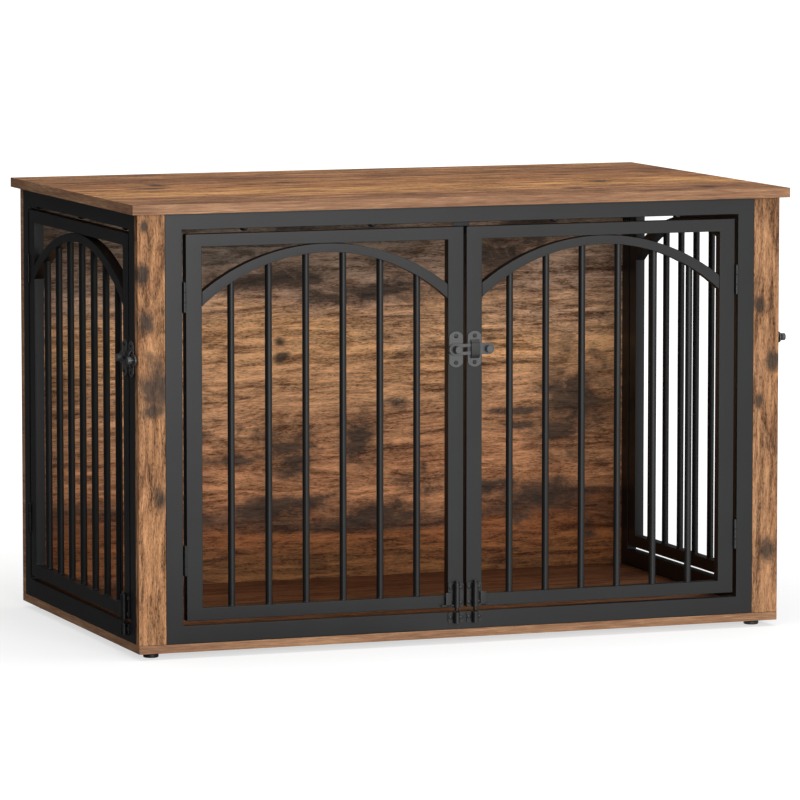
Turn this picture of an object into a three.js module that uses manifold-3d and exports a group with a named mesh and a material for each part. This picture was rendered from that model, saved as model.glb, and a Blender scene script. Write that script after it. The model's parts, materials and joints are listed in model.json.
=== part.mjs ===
// Dog crate end table: a laminated board top and base, a board back and two board front posts,
// closed on three sides by welded steel frames. Two barred doors fill the front and one fills
// each side. Millimetres, +Z up, front towards -Y; the origin is on the floor, at the centre.
import * as THREE from 'three';
import { mergeVertices } from 'three/addons/utils/BufferGeometryUtils.js';
import Module from 'manifold-3d';

// ---- driving dimensions ----------------------------------------------------------------
const FIT = 0.3; // gap left between pieces that touch

// boards
const TOP_LENGTH = 1000;
const TOP_DEPTH = 600;
const TOP_THICKNESS = 14;
const OVERHANG_SIDE = 11; // top beyond the body, left and right
const OVERHANG_FRONT = 13; // top beyond the body, front and back
const BASE_THICKNESS = 12;
const PANEL_THICKNESS = 15; // back panel and front posts
const POST_WIDTH = 40;

// steel frames, between the base and the top
const FRAME_HEIGHT = 608;
const FRAME_TUBE = 25; // face width of the stiles and the bottom rail
const FRAME_TOP_RAIL = 23;
const TUBE_DEPTH = 15; // all tubes, from outer to inner face

// doors
const HINGE_GAP = 5.5; // between a door and the frame's upright on either side
const RAIL_GAP = 6.5; // between a door and the rails above and below it
const MEETING_GAP = 4.8; // between the two front doors
const DOOR_STILE = 23.5;
const DOOR_RAIL = 18;
const BAR_DIAMETER = 10;
const BAR_END_GAP = 45; // door stile to the middle of the nearest bar
const FRONT_BARS = 6;
const SIDE_BARS = 7;
const ARCH_RISE = 63;
const ARCH_CROWN_WIDTH = 12.5;
const ARCH_FOOT_WIDTH = 20.5;

// butt hinges
const HINGE_LENGTH = 42.5;
const HINGE_INSET = 118; // middle of a hinge from the end of the frame
const KNUCKLE_RADIUS = 2.7;
const PIN_RADIUS = 1.2;
const PIN_CLEARANCE = 0.3;
const LEAF_THICKNESS = 1;
const LEAF_DEPTH = 12;
const KNUCKLE_CLEARANCE = 0.4;

// plates and screws of the latches and bolts
const PLATE_THICKNESS = 1.5;
const SCREW_RADIUS = 3;
const SCREW_HEAD = 1.3;
const SLIDE_CLEARANCE = 0.4;

// sliding latches
const LATCH_HEIGHT = 403; // above the base
const LATCH_PLATE_WIDTH = 20.8;
const LATCH_PLATE_LENGTH = 51.5;
const LATCH_PLATE_ROUND = 6; // rise of the plate's round ends
const LATCH_SCREW_SPACING = 38;
const SLIDER_LENGTH = 43;
const SLIDER_WIDTH = 16;
const SLIDER_THICKNESS = 2;
const SLIDER_SLOT = 6.5;
const SLIDER_TIP_GAP = 0.8; // between the fork and the loop, latch open
const SLIDER_KNOB_INSET = 9.7; // middle of the knob from the slider's round end
const BRIDGE_WIDTH = 13.3;
const BRIDGE_LENGTH = 26.8;
const BRIDGE_THICKNESS = 2.6;
const LOOP_THICKNESS = 1.6;
const LOOP_EYE_RADIUS = 5.6;
const KNOB_RADIUS = 5.3;
const KNOB_HEIGHT = 13.4; // top of a knob above the tube's face
const KNOB_HEAD = 5;
const KNOB_NECK_RADIUS = 2.1;

// vertical bolts at the foot of each door
const BOLT_PLATE_LENGTH = 35.5;
const BOLT_SCREW_SPACING_X = 16;
const BOLT_SCREW_SPACING_Z = 22;
const BOLT_BARREL_RADIUS = 4.65;
const BOLT_RADIUS = 2.75;
const BOLT_TIP_GAP = 1.5; // rod above the keeper, bolt open
const BOLT_STAND_UP = 3; // rod above its plate
const KEEPER_LENGTH = 16;
const KEEPER_SCREW_SPACING = 16;
const HANDLE_REACH = 23; // arm of the handle from the middle of the rod
const HANDLE_ARM = 2.4;
const HANDLE_RISE = 2.1; // arm above the door's lower edge
const HANDLE_TAB_WIDTH = 9;
const HANDLE_TAB_HEIGHT = 20;
const HANDLE_TAB_GAP = 3.2; // between the tab and the barrel

// door stop behind the top rail of the front frame
const STOP_WIDTH = 24.6;
const STOP_THICKNESS = 2;
const STOP_OVERLAP = 13; // on the rail above and on the doors below

// glides under the base, each pressed in by its stem
const FOOT_DIAMETER = 22;
const FOOT_HEIGHT = 9;
const FOOT_INSET_SIDE = 27; // middle of a foot from the left or right edge of the base
const FOOT_INSET_FRONT = 32; // the same from the front or back edge
const FOOT_STEM_RADIUS = 3;
const FOOT_STEM_LENGTH = 9;
const FOOT_HOLE_CLEARANCE = 0.4;

// roundness
const ARC_STEPS = 10;
const BAR_SIDES = 12;
const SMALL_SIDES = 16;

// ---- places worked out from them -------------------------------------------------------
const bodyLength = TOP_LENGTH - 2 * OVERHANG_SIDE;
const bodyDepth = TOP_DEPTH - 2 * OVERHANG_FRONT;
const baseTop = FOOT_HEIGHT + BASE_THICKNESS;
const topUnderside = baseTop + FRAME_HEIGHT;

const frontFrameWidth = bodyLength - 2 * POST_WIDTH - 2 * FIT;
const sideFrameWidth = bodyDepth - 2 * PANEL_THICKNESS - 2 * FIT;

// heights above the base, as the walls use them
const frameBottom = FIT;
const frameTop = FRAME_HEIGHT - FIT;
const doorBottom = frameBottom + FRAME_TUBE + RAIL_GAP;
const doorTop = frameTop - FRAME_TOP_RAIL - RAIL_GAP;

const frontDoorWidth = (frontFrameWidth - MEETING_GAP) / 2 - FRAME_TUBE - HINGE_GAP;
const sideDoorWidth = sideFrameWidth - 2 * FRAME_TUBE - 2 * HINGE_GAP;

// the hinge line stands just far enough in front of the faces for the knuckles to clear them
const knuckleReach = KNUCKLE_RADIUS + FIT;
const pivotOut = Math.sqrt(Math.max(knuckleReach ** 2 - (HINGE_GAP / 2) ** 2, 0));

// layers of a latch, measured outwards from the tube's face
const plateFace = FIT + PLATE_THICKNESS;
const sliderBack = plateFace + SLIDE_CLEARANCE;
const sliderFace = sliderBack + SLIDER_THICKNESS;
const loopBack = sliderFace + SLIDE_CLEARANCE;
const barrelAxis = FIT + BOLT_BARREL_RADIUS;

// ---- shapes ----------------------------------------------------------------------------
const wasm = await Module();
wasm.setup();

/** A closed three.js geometry as a solid that can be joined and cut. */
function solid(geometry) {
  const bare = geometry.index ? geometry.clone() : geometry;
  bare.deleteAttribute('normal');
  bare.deleteAttribute('uv');
  const merged = mergeVertices(bare, 1e-4);
  const vertProperties = new Float32Array(merged.attributes.position.array);
  const triVerts = new Uint32Array(merged.index.array);
  return new wasm.Manifold(new wasm.Mesh({ numProp: 3, vertProperties, triVerts }));
}

/** A solid as a three.js geometry. */
function geometryOf(body) {
  const mesh = body.getMesh();
  const geometry = new THREE.BufferGeometry();
  geometry.setAttribute('position', new THREE.BufferAttribute(mesh.vertProperties, 3));
  geometry.setIndex(new THREE.BufferAttribute(mesh.triVerts, 1));
  return geometry;
}

function join(first, ...others) {
  return others.reduce((whole, next) => whole.add(next), first);
}

function cut(first, ...others) {
  return others.reduce((whole, next) => whole.subtract(next), first);
}

/** A block between two corners, given in any order. */
function block(x0, x1, y0, y1, z0, z1) {
  const geometry = new THREE.BoxGeometry(Math.abs(x1 - x0), Math.abs(y1 - y0), Math.abs(z1 - z0));
  return solid(geometry.translate((x0 + x1) / 2, (y0 + y1) / 2, (z0 + z1) / 2));
}

/** A round bar standing on (x, y, z0) and reaching up to z1. */
function uprightBar(x, y, z0, z1, radius, sides) {
  const geometry = new THREE.CylinderGeometry(radius, radius, z1 - z0, sides);
  return solid(geometry.rotateX(Math.PI / 2).translate(x, y, (z0 + z1) / 2));
}

/** A round stud with its axis across the wall, between the depths y0 and y1. */
function stud(x, z, y0, y1, radius) {
  const geometry = new THREE.CylinderGeometry(radius, radius, Math.abs(y1 - y0), SMALL_SIDES);
  return solid(geometry.translate(x, (y0 + y1) / 2, z));
}

/** An outline drawn in x and z, given thickness between the depths y0 and y1. */
function slab(shape, y0, y1) {
  const depth = Math.abs(y1 - y0);
  const geometry = new THREE.ExtrudeGeometry(shape, {
    depth,
    bevelEnabled: false,
    curveSegments: ARC_STEPS,
  });
  return solid(geometry.rotateX(Math.PI / 2).translate(0, Math.max(y0, y1), 0));
}

/** Radius of the arc that rises by `rise` over half a chord. */
function arcRadius(halfChord, rise) {
  return (halfChord ** 2 + rise ** 2) / (2 * rise);
}

/** An upright plate centred on (x, z), whose ends are arcs of the given rise. */
function roundEndedPlate(x, z, width, height, rise) {
  const radius = arcRadius(width / 2, rise);
  const spread = Math.asin(width / 2 / radius);
  const reach = height / 2 - radius;
  const shape = new THREE.Shape();
  shape.absarc(x, z + reach, radius, Math.PI / 2 - spread, Math.PI / 2 + spread, false);
  shape.absarc(x, z - reach, radius, 1.5 * Math.PI - spread, 1.5 * Math.PI + spread, false);
  shape.closePath();
  return shape;
}

/** A rectangular ring of tube, seen from the front. */
function tubeRing(x0, x1, z0, z1, stile, lowerRail, upperRail) {
  const outer = block(x0, x1, 0, TUBE_DEPTH, z0, z1);
  const opening = block(x0 + stile, x1 - stile, -1, TUBE_DEPTH + 1, z0 + lowerRail, z1 - upperRail);
  return cut(outer, opening);
}

// ---- finishes --------------------------------------------------------------------------
const woodFinish = { color: 0x8a5c38, roughness: 0.62, metalness: 0 };
const edgeFinish = { color: 0x9a6f52, roughness: 0.65, metalness: 0 };
const steelFinish = { color: 0x333434, roughness: 0.5, metalness: 0.3 };
const hardwareFinish = { color: 0x4c4c4c, roughness: 0.45, metalness: 0.5 };
const footFinish = { color: 0x1c1c1c, roughness: 0.8, metalness: 0 };

const table = new THREE.Group();

function addPart(parent, name, body, finish) {
  const mesh = new THREE.Mesh(geometryOf(body), new THREE.MeshStandardMaterial(finish));
  mesh.name = name;
  parent.add(mesh);
}

// ---- boards ----------------------------------------------------------------------------
function addBoards() {
  const [halfLength, halfDepth] = [bodyLength / 2, bodyDepth / 2];
  const topTop = topUnderside + TOP_THICKNESS;
  const top = block(
    -TOP_LENGTH / 2, TOP_LENGTH / 2, -TOP_DEPTH / 2, TOP_DEPTH / 2, topUnderside, topTop,
  );
  addPart(table, 'tabletop', top, woodFinish);

  const base = block(-halfLength, halfLength, -halfDepth, halfDepth, FOOT_HEIGHT, baseTop);
  const stemHoles = footPlaces().map(([x, y]) => uprightBar(
    x, y, FOOT_HEIGHT - 1, FOOT_HEIGHT + FOOT_STEM_LENGTH + FOOT_HOLE_CLEARANCE,
    FOOT_STEM_RADIUS + FOOT_HOLE_CLEARANCE, SMALL_SIDES,
  ));
  addPart(table, 'base_board', cut(base, ...stemHoles), edgeFinish);

  const [low, high] = [baseTop + FIT, topUnderside - FIT];
  const panelFront = halfDepth - PANEL_THICKNESS;
  const back = block(-halfLength, halfLength, panelFront, halfDepth, low, high);
  addPart(table, 'back_panel', back, woodFinish);

  for (const [name, side] of [['front_post_left', -1], ['front_post_right', 1]]) {
    const post = block(
      side * halfLength, side * (halfLength - POST_WIDTH),
      -halfDepth, -halfDepth + PANEL_THICKNESS, low, high,
    );
    addPart(table, name, post, woodFinish);
  }
}

// ---- glides ----------------------------------------------------------------------------
function footPlaces() {
  const x = bodyLength / 2 - FOOT_INSET_SIDE;
  const y = bodyDepth / 2 - FOOT_INSET_FRONT;
  return [[-x, -y], [x, -y], [-x, y], [x, y]];
}

function addFeet() {
  const names = ['foot_front_left', 'foot_front_right', 'foot_back_left', 'foot_back_right'];
  footPlaces().forEach(([x, y], n) => {
    const pad = uprightBar(x, y, 0, FOOT_HEIGHT - FIT, FOOT_DIAMETER / 2, 2 * SMALL_SIDES);
    const stemTop = FOOT_HEIGHT + FOOT_STEM_LENGTH;
    const stem = uprightBar(x, y, FOOT_HEIGHT / 2, stemTop, FOOT_STEM_RADIUS, SMALL_SIDES);
    addPart(table, names[n], join(pad, stem), footFinish);
  });
}

// ---- walls -----------------------------------------------------------------------------
// A wall is drawn as seen from outside: x to the right, y inwards from the outer face, z up
// from the base. A hand of 1 puts the hinge on the left of the door, -1 on its right.
function addWall(x, y, turn) {
  const wall = new THREE.Group();
  wall.position.set(x, y, baseTop);
  wall.rotation.z = turn;
  table.add(wall);
  return wall;
}

function addFrame(wall, name, width) {
  const ring = tubeRing(
    -width / 2, width / 2, frameBottom, frameTop, FRAME_TUBE, FRAME_TUBE, FRAME_TOP_RAIL,
  );
  addPart(wall, name, ring, steelFinish);
}

/** The arch and the bars below it, welded into one grille. */
function grille(middle, halfOpening, bars) {
  const reach = halfOpening - FIT;
  const crown = doorTop - DOOR_RAIL - FIT;
  const innerRise = ARCH_RISE + ARCH_FOOT_WIDTH - ARCH_CROWN_WIDTH;
  const innerCrown = crown - ARCH_CROWN_WIDTH;
  const outer = arcRadius(reach, ARCH_RISE);
  const inner = arcRadius(reach, innerRise);
  const outerSpread = Math.asin(reach / outer);
  const innerSpread = Math.asin(reach / inner);
  const upwards = Math.PI / 2;

  const band = new THREE.Shape();
  band.absarc(middle, crown - outer, outer, upwards + outerSpread, upwards - outerSpread, true);
  band.absarc(
    middle, innerCrown - inner, inner, upwards - innerSpread, upwards + innerSpread, false,
  );
  band.closePath();

  const spacing = (2 * (halfOpening - BAR_END_GAP)) / (bars - 1);
  const uprights = Array.from({ length: bars }, (_, n) => {
    const offset = -halfOpening + BAR_END_GAP + n * spacing;
    const underArch = innerCrown - inner + Math.sqrt(inner ** 2 - offset ** 2);
    return uprightBar(
      middle + offset, TUBE_DEPTH / 2, doorBottom + DOOR_RAIL + FIT,
      underArch + ARCH_CROWN_WIDTH / 2, BAR_DIAMETER / 2, BAR_SIDES,
    );
  });
  return join(slab(band, 0, TUBE_DEPTH), ...uprights);
}

/** A door whose hinged edge is at `edge`: its ring of tube, its grille, two hinges, a bolt. */
function addDoor(wall, name, hand, edge, width, bars) {
  const free = edge + hand * width;
  const ring = tubeRing(
    Math.min(edge, free), Math.max(edge, free), doorBottom, doorTop,
    DOOR_STILE, DOOR_RAIL, DOOR_RAIL,
  );
  addPart(wall, `${name}_door_frame`, ring, steelFinish);
  const bent = grille((edge + free) / 2, width / 2 - DOOR_STILE, bars);
  addPart(wall, `${name}_door_grille`, bent, steelFinish);

  const pivot = edge - (hand * HINGE_GAP) / 2;
  addHinge(wall, `${name}_upper_hinge`, hand, pivot, FRAME_HEIGHT - HINGE_INSET);
  addHinge(wall, `${name}_lower_hinge`, hand, pivot, HINGE_INSET);
  addBolt(wall, `${name}_bolt`, hand, free - (hand * DOOR_STILE) / 2);
}

/** One leaf of a hinge: a plate against the upright, bent round the pin at the given spans. */
function hingeLeaf(side, pivot, low, high, knuckles, boreRadius) {
  const outer = pivot + side * (HINGE_GAP / 2 - FIT);
  const inner = outer - side * LEAF_THICKNESS;
  const clear = -pivotOut + KNUCKLE_RADIUS + KNUCKLE_CLEARANCE;
  const plate = block(inner, outer, clear, LEAF_DEPTH, low, high);
  const curls = knuckles.map(([z0, z1]) => join(
    block(inner, outer, -pivotOut, clear + FIT, z0, z1),
    uprightBar(pivot, -pivotOut, z0, z1, KNUCKLE_RADIUS, SMALL_SIDES),
  ));
  const leaf = join(plate, ...curls);
  if (boreRadius === 0) {
    return leaf;
  }
  return cut(leaf, uprightBar(pivot, -pivotOut, low - 1, high + 1, boreRadius, SMALL_SIDES));
}

function addHinge(wall, name, hand, pivot, middle) {
  const [low, high] = [middle - HINGE_LENGTH / 2, middle + HINGE_LENGTH / 2];
  const third = HINGE_LENGTH / 3;
  const [lowEnd, highEnd] = [low + third - KNUCKLE_CLEARANCE, high - third + KNUCKLE_CLEARANCE];
  const pin = uprightBar(pivot, -pivotOut, low, high, PIN_RADIUS, SMALL_SIDES);
  const fixed = hingeLeaf(-hand, pivot, low, high, [[low, lowEnd], [highEnd, high]], 0);
  addPart(wall, `${name}_frame_leaf`, join(fixed, pin), hardwareFinish);
  const middleSpan = [[low + third, high - third]];
  const bore = PIN_RADIUS + PIN_CLEARANCE;
  const moving = hingeLeaf(hand, pivot, low, high, middleSpan, bore);
  addPart(wall, `${name}_door_leaf`, moving, hardwareFinish);
}

function screwHead(x, z) {
  return stud(x, z, -plateFace + FIT, -plateFace - SCREW_HEAD, SCREW_RADIUS);
}

/** A vertical bolt on a door's free stile, with its keeper on the frame's bottom rail. */
function addBolt(wall, name, hand, x) {
  const low = doorBottom;
  const high = doorBottom + BOLT_PLATE_LENGTH;
  const bore = BOLT_RADIUS + SLIDE_CLEARANCE;
  const armLow = doorBottom + HANDLE_RISE;
  const armHigh = armLow + HANDLE_ARM;
  const keeperHigh = frameBottom + FRAME_TUBE;
  const keeperLow = keeperHigh - KEEPER_LENGTH;

  const plate = block(x - DOOR_STILE / 2, x + DOOR_STILE / 2, -FIT, -plateFace, low, high);
  const barrel = uprightBar(x, -barrelAxis, low, high, BOLT_BARREL_RADIUS, SMALL_SIDES);
  const way = uprightBar(x, -barrelAxis, low - 1, high + 1, bore, SMALL_SIDES);
  const slotHalf = HANDLE_ARM / 2 + SLIDE_CLEARANCE;
  const slot = block(
    x, x - hand * 2 * BOLT_BARREL_RADIUS, -barrelAxis - slotHalf, -barrelAxis + slotHalf,
    low - 1, armHigh + SLIDE_CLEARANCE,
  );
  const middle = (low + high) / 2;
  const heads = [-1, 1].flatMap((sx) => [-1, 1].map((sz) => screwHead(
    x + (sx * BOLT_SCREW_SPACING_X) / 2, middle + (sz * BOLT_SCREW_SPACING_Z) / 2,
  )));
  addPart(wall, `${name}_barrel`, cut(join(plate, barrel, ...heads), way, slot), hardwareFinish);

  // rod: its arm comes out through the barrel's slot and carries an upright tab
  const rod = uprightBar(
    x, -barrelAxis, keeperHigh + BOLT_TIP_GAP, high + BOLT_STAND_UP, BOLT_RADIUS, SMALL_SIDES,
  );
  const [armFront, armBack] = [-barrelAxis - HANDLE_ARM / 2, -barrelAxis + HANDLE_ARM / 2];
  const arm = block(x, x - hand * HANDLE_REACH, armFront, armBack, armLow, armHigh);
  const tabNear = x - hand * (BOLT_BARREL_RADIUS + HANDLE_TAB_GAP);
  const tab = block(
    tabNear, tabNear - hand * HANDLE_TAB_WIDTH, armFront, armBack,
    armLow, armLow + HANDLE_TAB_HEIGHT,
  );
  addPart(wall, `${name}_rod`, join(rod, arm, tab), hardwareFinish);

  const keeperPlate = block(
    x - DOOR_STILE / 2, x + DOOR_STILE / 2, -FIT, -plateFace, keeperLow, keeperHigh,
  );
  const loop = uprightBar(x, -barrelAxis, keeperLow, keeperHigh, BOLT_BARREL_RADIUS, SMALL_SIDES);
  const loopBore = uprightBar(x, -barrelAxis, keeperLow - 1, keeperHigh + 1, bore, SMALL_SIDES);
  const keeperScrews = [-1, 1].map((side) => screwHead(
    x + (side * KEEPER_SCREW_SPACING) / 2, (keeperLow + keeperHigh) / 2,
  ));
  const keeper = cut(join(keeperPlate, loop, ...keeperScrews), loopBore);
  addPart(wall, `${name}_keeper`, keeper, hardwareFinish);
}

/** A fixed plate of a latch with its two screws. */
function latchPlate(x) {
  const outline = roundEndedPlate(
    x, LATCH_HEIGHT, LATCH_PLATE_WIDTH, LATCH_PLATE_LENGTH, LATCH_PLATE_ROUND,
  );
  const heads = [-1, 1].map((side) => screwHead(
    x, LATCH_HEIGHT + (side * LATCH_SCREW_SPACING) / 2,
  ));
  return join(slab(outline, -FIT, -plateFace), ...heads);
}

/** A knob whose neck starts at the depth `from` inside the piece that carries it. */
function knob(x, from) {
  const neck = stud(x, LATCH_HEIGHT, -from, -KNOB_HEIGHT + KNOB_HEAD / 2, KNOB_NECK_RADIUS);
  const head = stud(x, LATCH_HEIGHT, -KNOB_HEIGHT + KNOB_HEAD, -KNOB_HEIGHT, KNOB_RADIUS);
  return join(neck, head);
}

/**
 * A sliding latch across a gap. One side of it, on the door, is a plate with a knob and a
 * loop round the knob. The other, on the upright beyond the gap, is a plate with a bridge,
 * and under the bridge a forked slider with a knob of its own, drawn with the latch open.
 */
function addLatch(wall, name, hand, gapMiddle, gap, upright) {
  const along = (distance) => gapMiddle + hand * distance;
  const half = SLIDER_WIDTH / 2;
  const [slotLow, slotHigh] = [LATCH_HEIGHT - SLIDER_SLOT / 2, LATCH_HEIGHT + SLIDER_SLOT / 2];

  // keeper: the loop is a flat strap on a post, its keyhole open towards the gap
  const keeperX = along(-(gap + DOOR_STILE) / 2);
  const loopFace = loopBack + LOOP_THICKNESS;
  const eyeX = along(-gap / 2 - DOOR_STILE + half);
  const legEnd = along(-SLIDER_TIP_GAP / 2);
  const strap = join(
    stud(eyeX, LATCH_HEIGHT, -loopBack, -loopFace, half),
    block(eyeX, legEnd, -loopBack, -loopFace, LATCH_HEIGHT - half, LATCH_HEIGHT + half),
  );
  const keyhole = join(
    stud(eyeX, LATCH_HEIGHT, -plateFace, -loopFace - 1, LOOP_EYE_RADIUS),
    block(eyeX, along(half), -plateFace, -loopFace - 1, slotLow, slotHigh),
  );
  const loopEnd = eyeX - hand * half;
  const post = block(
    loopEnd, eyeX - hand * LOOP_EYE_RADIUS, -FIT, -loopFace, slotLow, slotHigh,
  );
  const foot = block(loopEnd, keeperX, -FIT, -plateFace, slotLow, slotHigh);
  const keeper = join(
    latchPlate(keeperX), foot, cut(strap, keyhole), post, knob(keeperX, PLATE_THICKNESS / 2),
  );
  addPart(wall, `${name}_latch_keeper`, keeper, hardwareFinish);

  // guide: the bridge is a raised strap with a foot above and a foot below the slider
  const guideX = along((gap + upright) / 2);
  const bridgeFace = loopBack + BRIDGE_THICKNESS;
  const passage = half + SLIDE_CLEARANCE;
  const bridge = block(
    guideX - BRIDGE_WIDTH / 2, guideX + BRIDGE_WIDTH / 2, -PLATE_THICKNESS / 2, -bridgeFace,
    LATCH_HEIGHT - BRIDGE_LENGTH / 2, LATCH_HEIGHT + BRIDGE_LENGTH / 2,
  );
  const under = block(
    guideX - BRIDGE_WIDTH, guideX + BRIDGE_WIDTH, -plateFace, -loopBack,
    LATCH_HEIGHT - passage, LATCH_HEIGHT + passage,
  );
  const guide = join(latchPlate(guideX), cut(bridge, under));
  addPart(wall, `${name}_latch_guide`, guide, hardwareFinish);

  // slider: a fork with a round end and a knob
  const tip = along(SLIDER_TIP_GAP / 2);
  const end = tip + hand * SLIDER_LENGTH;
  const roundX = end - hand * half;
  const knobX = end - hand * SLIDER_KNOB_INSET;
  const body = join(
    block(tip, roundX, -sliderBack, -sliderFace, LATCH_HEIGHT - half, LATCH_HEIGHT + half),
    stud(roundX, LATCH_HEIGHT, -sliderBack, -sliderFace, half),
  );
  const slotEnd = knobX - hand * (KNOB_NECK_RADIUS + SLIDE_CLEARANCE);
  const slot = block(tip - hand, slotEnd, 0, -sliderFace - 1, slotLow, slotHigh);
  const slider = join(cut(body, slot), knob(knobX, sliderBack + SLIDER_THICKNESS / 2));
  addPart(wall, `${name}_latch_slider`, slider, hardwareFinish);
}

/** The tab behind the front frame's top rail that both front doors close against. */
function addDoorStop(wall) {
  const railLow = frameTop - FRAME_TOP_RAIL;
  const back = TUBE_DEPTH + FIT;
  const tab = block(
    -STOP_WIDTH / 2, STOP_WIDTH / 2, back, back + STOP_THICKNESS,
    doorTop - STOP_OVERLAP, railLow + STOP_OVERLAP,
  );
  addPart(wall, 'door_stop', tab, steelFinish);
}

function addFrontWall() {
  const wall = addWall(0, -bodyDepth / 2, 0);
  addFrame(wall, 'front_frame', frontFrameWidth);
  const edge = frontFrameWidth / 2 - FRAME_TUBE - HINGE_GAP;
  addDoor(wall, 'front_left', 1, -edge, frontDoorWidth, FRONT_BARS);
  addDoor(wall, 'front_right', -1, edge, frontDoorWidth, FRONT_BARS);
  addLatch(wall, 'front', 1, 0, MEETING_GAP, DOOR_STILE);
  addDoorStop(wall);
}

function addSideWall(name, x, turn, hand) {
  const wall = addWall(x, 0, turn);
  addFrame(wall, `${name}_frame`, sideFrameWidth);
  const edge = sideDoorWidth / 2;
  addDoor(wall, name, hand, -hand * edge, sideDoorWidth, SIDE_BARS);
  const gapMiddle = hand * (edge + HINGE_GAP / 2);
  addLatch(wall, name, hand, gapMiddle, HINGE_GAP, FRAME_TUBE);
}

addBoards();
addFeet();
addFrontWall();
addSideWall('left_side', -bodyLength / 2, -Math.PI / 2, 1);
addSideWall('right_side', bodyLength / 2, Math.PI / 2, -1);

export default table;
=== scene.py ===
"""Dog crate end table: printed wood boards round powder-coated steel frames and barred doors.

The sections follow the crate as it is put together, from its glides to its top.
"""

import json
import math

import bpy
from mathutils import Matrix, Vector


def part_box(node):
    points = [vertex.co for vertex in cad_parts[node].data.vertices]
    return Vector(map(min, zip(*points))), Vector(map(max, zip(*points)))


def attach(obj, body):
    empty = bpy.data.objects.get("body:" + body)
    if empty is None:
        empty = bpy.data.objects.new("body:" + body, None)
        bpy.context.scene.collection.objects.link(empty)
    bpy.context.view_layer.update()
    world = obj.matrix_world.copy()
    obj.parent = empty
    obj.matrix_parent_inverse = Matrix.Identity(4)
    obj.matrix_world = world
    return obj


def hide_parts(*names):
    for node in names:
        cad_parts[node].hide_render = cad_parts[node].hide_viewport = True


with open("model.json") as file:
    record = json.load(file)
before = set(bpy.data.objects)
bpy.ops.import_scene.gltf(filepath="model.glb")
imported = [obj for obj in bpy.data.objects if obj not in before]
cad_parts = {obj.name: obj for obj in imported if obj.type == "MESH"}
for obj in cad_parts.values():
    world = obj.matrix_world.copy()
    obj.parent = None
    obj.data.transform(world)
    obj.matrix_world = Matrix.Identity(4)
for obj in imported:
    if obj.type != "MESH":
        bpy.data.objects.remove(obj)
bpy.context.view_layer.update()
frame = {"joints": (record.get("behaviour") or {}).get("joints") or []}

# --- Glides ---------------------------------------------------------------------------------
# Four round feet of black moulded polyethylene, each a pad with a softly rounded rim.
# A foot is pushed into the base board by its stem, so only the pad and its neck show.
MM = 0.001
SAME_PLACE = 0.001 * MM  # vertices closer than this are one
SMOOTH_UP_TO = math.radians(40)  # the angle at which an edge starts to look sharp


def linear(code):
    """The linear RGBA of an sRGB hex colour."""
    channels = [int(code[i : i + 2], 16) / 255 for i in (1, 3, 5)]
    return [c / 12.92 if c <= 0.04045 else ((c + 0.055) / 1.055) ** 2.4 for c in channels] + [1]


def grey(value):
    """An opaque grey, already linear."""
    return [value, value, value, 1]


def add_node(tree, kind, inputs=(), output=0, stops=(), **settings):
    """Adds a node with its settings, inputs and ramp stops, and gives one of its outputs.

    The stops rise, and each is a position and a colour, which is hex or a grey.
    """
    node = tree.nodes.new(kind)
    for name, value in settings.items():
        setattr(node, name, value)
    for name, value in dict(inputs).items():
        if isinstance(value, bpy.types.NodeSocket):
            tree.links.new(value, node.inputs[name])
        else:
            node.inputs[name].default_value = value
    for number, (position, colour) in enumerate(stops):
        elements = node.color_ramp.elements
        stop = elements[number] if number < 2 else elements.new(position)
        stop.position = position
        stop.color = linear(colour) if isinstance(colour, str) else grey(colour)
    return node.outputs[output] if node.outputs else None


def new_material(name):
    """An empty material, its node tree and its object coordinates."""
    material = bpy.data.materials.new(name)
    material.use_nodes = True
    tree = material.node_tree
    tree.nodes.clear()
    return material, tree, add_node(tree, "ShaderNodeTexCoord", output="Object")


def select_only(piece):
    """Leaves one piece selected and active, in object mode."""
    bpy.ops.object.select_all(action="DESELECT")
    piece.select_set(True)
    bpy.context.view_layer.objects.active = piece


def coated(material, *pieces):
    """Gives pieces their material."""
    for piece in pieces:
        piece.data.materials.append(material)


def turned(profile, axis="Z", centre=(0, 0, 0), sides=32, hollow=False):
    """A turned piece: a circle drawn out along an axis through (distance, radius) pairs.

    A hollow one comes back to its first pair, and so has no ends to fill.
    """
    at, radius = profile[0]
    bpy.ops.mesh.primitive_circle_add(
        vertices=sides, radius=radius, fill_type="NOTHING" if hollow else "NGON",
        location=(0, 0, at),
    )
    piece = bpy.context.object
    bpy.ops.object.transform_apply()
    bpy.ops.object.mode_set(mode="EDIT")
    bpy.ops.mesh.select_mode(type="EDGE")
    bpy.ops.mesh.select_all(action="SELECT")
    closing = profile[:1] if hollow else []
    for distance, wanted in profile[1:] + closing:
        bpy.ops.mesh.extrude_region_move(TRANSFORM_OT_translate={"value": (0, 0, distance - at)})
        factor = wanted / radius
        bpy.ops.transform.resize(value=(factor, factor, 1), center_override=(0, 0, distance))
        at, radius = distance, wanted
    bpy.ops.mesh.select_all(action="SELECT")
    bpy.ops.mesh.remove_doubles(threshold=SAME_PLACE)
    bpy.ops.mesh.normals_make_consistent(inside=False)
    bpy.ops.object.mode_set(mode="OBJECT")
    piece.rotation_euler = {"Z": (0, 0, 0), "-Y": (math.pi / 2, 0, 0)}[axis]
    piece.location = centre
    bpy.ops.object.transform_apply()
    return piece


def finished(piece, name, body, slot, *replaced):
    """Smooths a piece, names it, hangs it on its body and lets it stand for its CAD nodes."""
    select_only(piece)
    bpy.ops.object.shade_smooth_by_angle(angle=SMOOTH_UP_TO)
    weighting = piece.modifiers.new("flat_faces_stay_flat", "WEIGHTED_NORMAL")
    weighting.keep_sharp = True
    bpy.ops.object.modifier_apply(modifier=weighting.name)
    piece.name = name
    piece.data.name = name
    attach(piece, body)
    if replaced:
        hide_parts(*replaced)


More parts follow.
